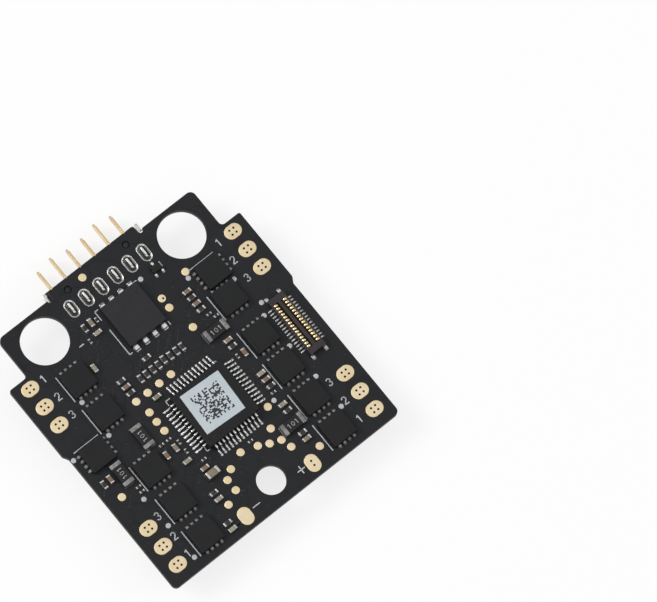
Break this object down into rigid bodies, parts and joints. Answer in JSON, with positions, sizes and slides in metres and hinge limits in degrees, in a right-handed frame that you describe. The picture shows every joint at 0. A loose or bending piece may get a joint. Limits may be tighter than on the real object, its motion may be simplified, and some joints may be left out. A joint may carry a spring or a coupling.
{
  "type": "electronic speed controller",
  "caption": "Bare dark circuit board driving four brushless motors, with a right-angle blade header, gold wire pads, a microcontroller, power switches and a fine-pitch board connector.",
  "frame": {"origin": "on the ground under the centre of the whole assembly's footprint, with the board lying flat on its back parts", "axes": "+Z out of the board's front face, +Y the way the header's blades point, +X to the right as the front face is looked at"},
  "size_m": [0.0318, 0.037, 0.0056],
  "materials": {
    "solder_mask": "near-black satin solder mask over glass laminate",
    "black_moulding": "matt dark grey moulding compound",
    "shunt_coating": "satin black overcoat",
    "header_moulding": "satin blue-black moulded plastic",
    "connector_moulding": "semi-gloss violet-black moulded plastic",
    "gold_plating": "pale immersion gold over copper",
    "blade_plating": "gold flash on blades, grey at the cut tips",
    "solder": "bright reflowed solder",
    "tin_plating": "satin tin",
    "brown_ceramic": "fine-grained brown and grey-beige ceramic",
    "pale_ceramic": "fine-grained pale ceramic",
    "resistor_film": "black glassy overcoat",
    "bead_ferrite": "violet-grey ferrite",
    "label_paper": "pale blue-grey printed film",
    "sticker_paper": "pale lavender-grey paper"
  },
  "bodies": {
    "root": {"back_transistor": "black_moulding", "bare_board": "solder_mask", "bulk_capacitor_pads": "gold_plating", "capacitors_0201": "pale_ceramic", "capacitors_0402": "brown_ceramic", "capacitors_0603": "brown_ceramic", "connector_contacts": "gold_plating", "connector_housing": "connector_moulding", "connector_solder_tails": "tin_plating", "current_shunt_1": "shunt_coating", "current_shunt_2": "shunt_coating", "current_shunt_3": "shunt_coating", "current_shunt_4": "shunt_coating", "current_shunt_ends": "tin_plating", "ends_0201": "tin_plating", "ends_0402": "tin_plating", "ends_0603": "tin_plating", "ferrite_bead": "bead_ferrite", "front_transistor": "black_moulding", "gate_driver_1": "black_moulding", "gate_driver_2": "black_moulding", "gate_driver_3": "black_moulding", "gate_driver_4": "black_moulding", "gate_driver_leads": "tin_plating", "header_hold_downs": "tin_plating", "header_housing": "header_moulding", "header_pin_1": "blade_plating", "header_pin_2": "blade_plating", "header_pin_3": "blade_plating", "header_pin_4": "blade_plating", "header_pin_5": "blade_plating", "header_pin_6": "blade_plating", "header_solder_joints": "solder", "main_switch_body": "black_moulding", "main_switch_leads": "tin_plating", "microcontroller_body": "black_moulding", "microcontroller_leads": "tin_plating", "motor_wire_pads": "gold_plating", "phase_switch_01": "black_moulding", "phase_switch_02": "black_moulding", "phase_switch_03": "black_moulding", "phase_switch_04": "black_moulding", "phase_switch_05": "black_moulding", "phase_switch_06": "black_moulding", "phase_switch_07": "black_moulding", "phase_switch_08": "black_moulding", "phase_switch_09": "black_moulding", "phase_switch_10": "black_moulding", "phase_switch_11": "black_moulding", "phase_switch_12": "black_moulding", "phase_switch_leads": "tin_plating", "power_wire_pads": "gold_plating", "printed_label": "label_paper", "regulator": "black_moulding", "resistors_0201": "resistor_film", "resistors_0402": "resistor_film", "round_ground_pad": "gold_plating", "round_sticker": "sticker_paper", "small_package_leads": "tin_plating", "test_pads": "gold_plating"}
  },
  "joints": []
}
